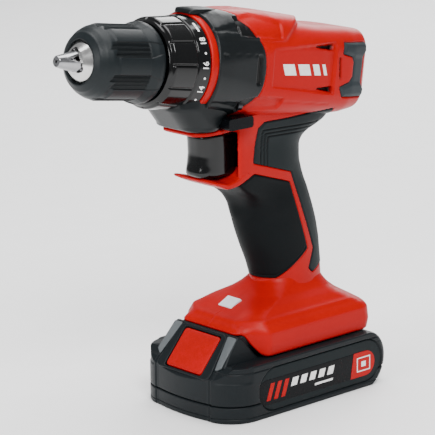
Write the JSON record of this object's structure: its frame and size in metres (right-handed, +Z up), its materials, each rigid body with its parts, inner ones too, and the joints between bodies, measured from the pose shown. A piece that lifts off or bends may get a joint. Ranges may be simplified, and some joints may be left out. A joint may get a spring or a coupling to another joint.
{
  "type": "cordless drill",
  "caption": "Pistol-grip cordless drill driver with keyless three-jaw chuck, torque collar, planetary gearbox, trigger and slide-on battery.",
  "frame": {"origin": "centre of the battery's flat base, on the surface that the drill stands on", "axes": "+X towards the chuck, +Y to the user's left, +Z up; the spindle is tilted 8 degrees nose-up from +X"},
  "size_m": [0.2136, 0.078, 0.2252],
  "materials": {
    "red_housing": "satin, lightly textured",
    "soft_grip": "matt, soft touch",
    "dark_case": "fine sparked texture",
    "red_trim": "satin",
    "black_gloss": "gloss",
    "charcoal": "satin",
    "chuck_steel": "ground and polished",
    "gear_steel": "sintered and oiled",
    "spring_steel": "bright",
    "motor_steel": "zinc plated",
    "black_plastic": "matt",
    "lead_insulation": "satin",
    "clear_lens": "clear",
    "screw_steel": "black oxide",
    "cell_wrap": "shrink sleeve",
    "circuit_board": "lacquered"
  },
  "bodies": {
    "housing": {"housing_left": "red_housing", "housing_right": "red_housing", "grip_left": "soft_grip", "grip_right": "soft_grip", "back_strap": "soft_grip", "rear_bumpers": "soft_grip", "gear_case": "dark_case", "index_ring": "red_trim", "input_ring_gear": "gear_steel", "clutch_ring_gear": "gear_steel", "clutch_balls": "spring_steel", "front_bearing": "spring_steel", "motor_plate": "gear_steel", "motor_can": "motor_steel", "motor_end_bell": "black_plastic", "motor_bearings": "spring_steel", "switch_module": "black_plastic", "terminal_block": "black_plastic", "motor_leads": "lead_insulation", "battery_leads": "lead_insulation", "led_lens": "clear_lens", "housing_screws": "screw_steel", "gear_case_screws": "screw_steel", "clutch_spring": "spring_steel", "trigger_spring": "spring_steel"},
    "chuck": {"output_carrier": "gear_steel", "spindle": "chuck_steel", "chuck_body": "chuck_steel"},
    "sleeve": {"chuck_sleeve": "charcoal", "jaw_nut": "gear_steel"},
    "jaw_1": {"jaw_1": "chuck_steel"},
    "jaw_2": {"jaw_2": "chuck_steel"},
    "jaw_3": {"jaw_3": "chuck_steel"},
    "torque_collar": {"torque_collar": "black_gloss"},
    "clutch_nut": {"clutch_nut": "gear_steel"},
    "second_carrier": {"second_carrier": "gear_steel"},
    "first_carrier": {"first_carrier": "gear_steel"},
    "rotor": {"motor_shaft": "gear_steel", "rotor_core": "motor_steel", "cooling_fan": "black_plastic"},
    "speed_shift": {"speed_selector": "black_plastic", "shift_fork": "spring_steel", "shift_ring_gear": "gear_steel"},
    "direction_bar": {"direction_bar": "black_gloss"},
    "trigger": {"trigger": "black_gloss"},
    "battery": {"battery_case_top": "dark_case", "battery_case_bottom": "dark_case", "battery_pads": "black_gloss", "battery_cells": "cell_wrap", "battery_board": "circuit_board"},
    "battery_button": {"battery_button": "red_trim"},
    "planet_1a": {"planet_1a": "gear_steel"},
    "planet_1b": {"planet_1b": "gear_steel"},
    "planet_1c": {"planet_1c": "gear_steel"},
    "planet_2a": {"planet_2a": "gear_steel"},
    "planet_2b": {"planet_2b": "gear_steel"},
    "planet_2c": {"planet_2c": "gear_steel"},
    "planet_3a": {"planet_3a": "gear_steel"},
    "planet_3b": {"planet_3b": "gear_steel"},
    "planet_3c": {"planet_3c": "gear_steel"}
  },
  "joints": [
    {"name": "chuck_spin", "type": "hinge", "parent": "housing", "child": "chuck", "pos_m": [0, 0, 0.18683], "axis": [0.9903, 0, 0.1392], "continuous": true},
    {"name": "second_carrier_spin", "type": "hinge", "parent": "housing", "child": "second_carrier", "pos_m": [0, 0, 0.18683], "axis": [0.9903, 0, 0.1392], "continuous": true},
    {"name": "first_carrier_spin", "type": "hinge", "parent": "housing", "child": "first_carrier", "pos_m": [0, 0, 0.18683], "axis": [0.9903, 0, 0.1392], "continuous": true},
    {"name": "rotor_spin", "type": "hinge", "parent": "housing", "child": "rotor", "pos_m": [0, 0, 0.18683], "axis": [0.9903, 0, 0.1392], "continuous": true},
    {"name": "planet_1a_spin", "type": "hinge", "parent": "first_carrier", "child": "planet_1a", "pos_m": [0.02369, 0, 0.20152], "axis": [0.9903, 0, 0.1392], "continuous": true},
    {"name": "planet_1b_spin", "type": "hinge", "parent": "first_carrier", "child": "planet_1b", "pos_m": [0.02603, -0.00974, 0.18481], "axis": [0.9903, 0, 0.1392], "continuous": true},
    {"name": "planet_1c_spin", "type": "hinge", "parent": "first_carrier", "child": "planet_1c", "pos_m": [0.02603, 0.00974, 0.18481], "axis": [0.9903, 0, 0.1392], "continuous": true},
    {"name": "planet_2a_spin", "type": "hinge", "parent": "second_carrier", "child": "planet_2a", "pos_m": [0.03765, 0, 0.20348], "axis": [0.9903, 0, 0.1392], "continuous": true},
    {"name": "planet_2b_spin", "type": "hinge", "parent": "second_carrier", "child": "planet_2b", "pos_m": [0.04, -0.00974, 0.18677], "axis": [0.9903, 0, 0.1392], "continuous": true},
    {"name": "planet_2c_spin", "type": "hinge", "parent": "second_carrier", "child": "planet_2c", "pos_m": [0.04, 0.00974, 0.18677], "axis": [0.9903, 0, 0.1392], "continuous": true},
    {"name": "planet_3a_spin", "type": "hinge", "parent": "chuck", "child": "planet_3a", "pos_m": [0.04765, 0, 0.20489], "axis": [0.9903, 0, 0.1392], "continuous": true},
    {"name": "planet_3b_spin", "type": "hinge", "parent": "chuck", "child": "planet_3b", "pos_m": [0.05, -0.00974, 0.18818], "axis": [0.9903, 0, 0.1392], "continuous": true},
    {"name": "planet_3c_spin", "type": "hinge", "parent": "chuck", "child": "planet_3c", "pos_m": [0.05, 0.00974, 0.18818], "axis": [0.9903, 0, 0.1392], "continuous": true},
    {"name": "sleeve_turn", "type": "hinge", "parent": "chuck", "child": "sleeve", "pos_m": [0, 0, 0.18683], "axis": [0.9903, 0, 0.1392], "range_deg": [0, 3240]},
    {"name": "jaw_1_slide", "type": "slide", "parent": "chuck", "child": "jaw_1", "axis": [-0.9925, 0, 0.1219], "range_m": [0, 0.0162]},
    {"name": "jaw_2_slide", "type": "slide", "parent": "chuck", "child": "jaw_2", "axis": [-0.9385, -0.2241, -0.2626], "range_m": [0, 0.0162]},
    {"name": "jaw_3_slide", "type": "slide", "parent": "chuck", "child": "jaw_3", "axis": [-0.9385, 0.2241, -0.2626], "range_m": [0, 0.0162]},
    {"name": "collar_turn", "type": "hinge", "parent": "housing", "child": "torque_collar", "pos_m": [0, 0, 0.18683], "axis": [0.9903, 0, 0.1392], "range_deg": [0, 300]},
    {"name": "clutch_nut_slide", "type": "slide", "parent": "torque_collar", "child": "clutch_nut", "axis": [-0.9903, 0, -0.1392], "range_m": [0, 0.0056], "deforming": ["clutch_spring"]},
    {"name": "speed_shift_slide", "type": "slide", "parent": "housing", "child": "speed_shift", "axis": [-0.9903, 0, -0.1392], "range_m": [0, 0.006]},
    {"name": "direction_push", "type": "slide", "parent": "housing", "child": "direction_bar", "axis": [0, 1, 0], "range_m": [-0.003, 0.003]},
    {"name": "trigger_pull", "type": "slide", "parent": "housing", "child": "trigger", "axis": [-1, 0, 0], "range_m": [0, 0.007], "stiffness_N_per_m": 900, "springref_m": -0.006, "deforming": ["trigger_spring"]},
    {"name": "battery_slide", "type": "slide", "parent": "housing", "child": "battery", "axis": [1, 0, 0], "range_m": [0, 0.1]},
    {"name": "button_press", "type": "slide", "parent": "battery", "child": "battery_button", "axis": [-0.7559, 0, -0.6547], "range_m": [0, 0.0035], "stiffness_N_per_m": 1200, "springref_m": -0.003}
  ],
  "couplings": [
    {"joint": "chuck_spin", "follows": "rotor_spin", "ratio": 0.015625},
    {"joint": "second_carrier_spin", "follows": "rotor_spin", "ratio": 0.0625},
    {"joint": "first_carrier_spin", "follows": "rotor_spin", "ratio": 0.25},
    {"joint": "planet_3a_spin", "follows": "rotor_spin", "ratio": -0.046875},
    {"joint": "planet_2a_spin", "follows": "rotor_spin", "ratio": -0.1875},
    {"joint": "planet_1a_spin", "follows": "rotor_spin", "ratio": -0.75},
    {"joint": "planet_3b_spin", "follows": "rotor_spin", "ratio": -0.046875},
    {"joint": "planet_2b_spin", "follows": "rotor_spin", "ratio": -0.1875},
    {"joint": "planet_1b_spin", "follows": "rotor_spin", "ratio": -0.75},
    {"joint": "planet_3c_spin", "follows": "rotor_spin", "ratio": -0.046875},
    {"joint": "planet_2c_spin", "follows": "rotor_spin", "ratio": -0.1875},
    {"joint": "planet_1c_spin", "follows": "rotor_spin", "ratio": -0.75},
    {"joint": "jaw_1_slide", "follows": "sleeve_turn", "m_per_rad": 0.00028648},
    {"joint": "jaw_2_slide", "follows": "sleeve_turn", "m_per_rad": 0.00028648},
    {"joint": "jaw_3_slide", "follows": "sleeve_turn", "m_per_rad": 0.00028648},
    {"joint": "clutch_nut_slide", "follows": "collar_turn", "m_per_rad": 0.0010695}
  ]
}
